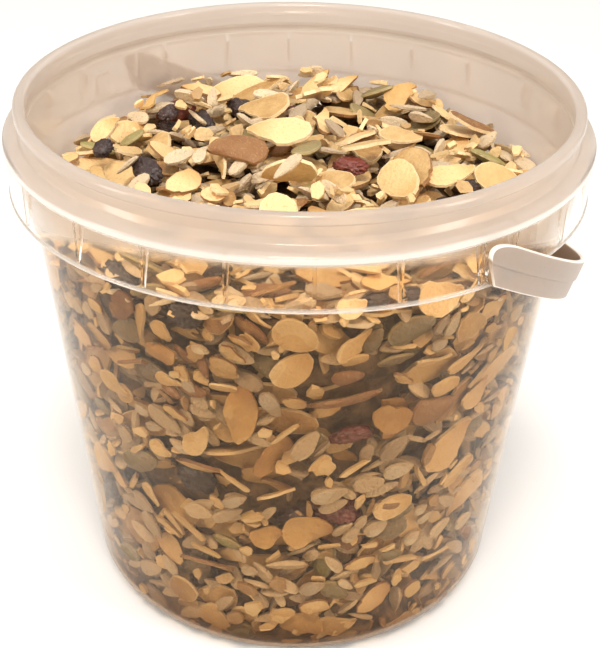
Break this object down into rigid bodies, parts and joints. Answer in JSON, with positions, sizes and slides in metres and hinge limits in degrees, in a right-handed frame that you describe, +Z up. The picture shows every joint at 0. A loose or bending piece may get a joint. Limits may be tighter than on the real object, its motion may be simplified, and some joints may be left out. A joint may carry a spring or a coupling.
{
  "type": "pail of muesli",
  "caption": "Clear tapered plastic pail with a ribbed flange and a hinged white strap handle, filled with flaked-almond and seed muesli below an open rim.",
  "frame": {"origin": "middle of the pail's underside, at the level of the foot ring it stands on", "axes": "+Z up along the pail's axis; X runs through the two ears, parallel to the handle's hinge axis; the lowered handle hangs round the +Y side"},
  "size_m": [0.1818, 0.176, 0.1665],
  "materials": {
    "clear_plastic": "clear moulded polypropylene, slightly milky and warm, glossy",
    "white_plastic": "satin off-white moulded plastic",
    "muesli_mix": "dry toasted almond slices, sunflower kernels, pumpkin seeds and dried fruit"
  },
  "bodies": {
    "pail": {"pail": "clear_plastic", "muesli": "muesli_mix"},
    "handle": {"handle": "white_plastic"}
  },
  "joints": [
    {"name": "handle_hinge", "type": "hinge", "parent": "pail", "child": "handle", "pos_m": [0, 0, 0.1451], "axis": [1, 0, 0], "range_deg": [0, 234]}
  ]
}
